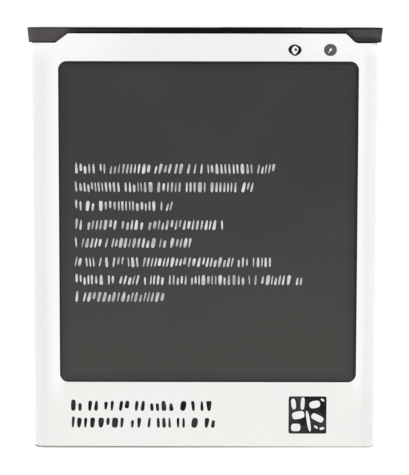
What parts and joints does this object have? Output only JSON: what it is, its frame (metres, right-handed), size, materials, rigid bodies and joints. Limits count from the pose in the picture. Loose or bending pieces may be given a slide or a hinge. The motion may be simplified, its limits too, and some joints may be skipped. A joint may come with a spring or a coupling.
{
  "type": "mobile phone battery",
  "caption": "Flat removable phone battery: white film-wrapped cell with a dark printed field, a black moulded header holding recessed contacts, and a thin bottom cover.",
  "frame": {"origin": "middle of the battery's outline, on the flat back that it lies on", "axes": "+Z out of the printed face, +Y along the length towards the header with the contacts, +X to the right as the face is read"},
  "size_m": [0.0516, 0.0618, 0.0052],
  "materials": {
    "label_film": "white satin film",
    "label_print": "dark warm grey satin print",
    "header_plastic": "black moulded, fine satin grain",
    "cover_plastic": "grey moulded",
    "contact_gold": "gold plated",
    "board_resin": "green solder mask",
    "package_resin": "black moulded chip",
    "chip_ceramic": "fired ceramic with tinned ends",
    "lead_nickel": "bright nickel strip",
    "cutoff_body": "black moulded",
    "terminal_metal": "plated",
    "gasket_plastic": "natural",
    "insulating_paper": "pressed fibre paper",
    "adhesive_tape": "double-sided film tape",
    "can_metal": "drawn, satin"
  },
  "bodies": {
    "root": {"cell_can": "can_metal", "terminal_gasket": "gasket_plastic", "negative_terminal": "terminal_metal", "fill_plug": "terminal_metal", "positive_pad": "lead_nickel", "lid_insulator": "insulating_paper", "thermal_cutoff": "cutoff_body", "positive_lead": "lead_nickel", "negative_lead": "lead_nickel", "circuit_board": "board_resin", "protection_ic": "package_resin", "switch_transistor": "package_resin", "thermistor": "chip_ceramic", "chip_resistors": "chip_ceramic", "chip_capacitors": "chip_ceramic", "header_cap": "header_plastic", "header_tape": "adhesive_tape", "bottom_cover": "cover_plastic", "bottom_tape": "adhesive_tape", "wrap_label": "label_film", "label_panel": "label_print", "contact_positive": "contact_gold", "contact_thermistor": "contact_gold", "contact_identity": "contact_gold", "contact_negative": "contact_gold"}
  },
  "joints": []
}
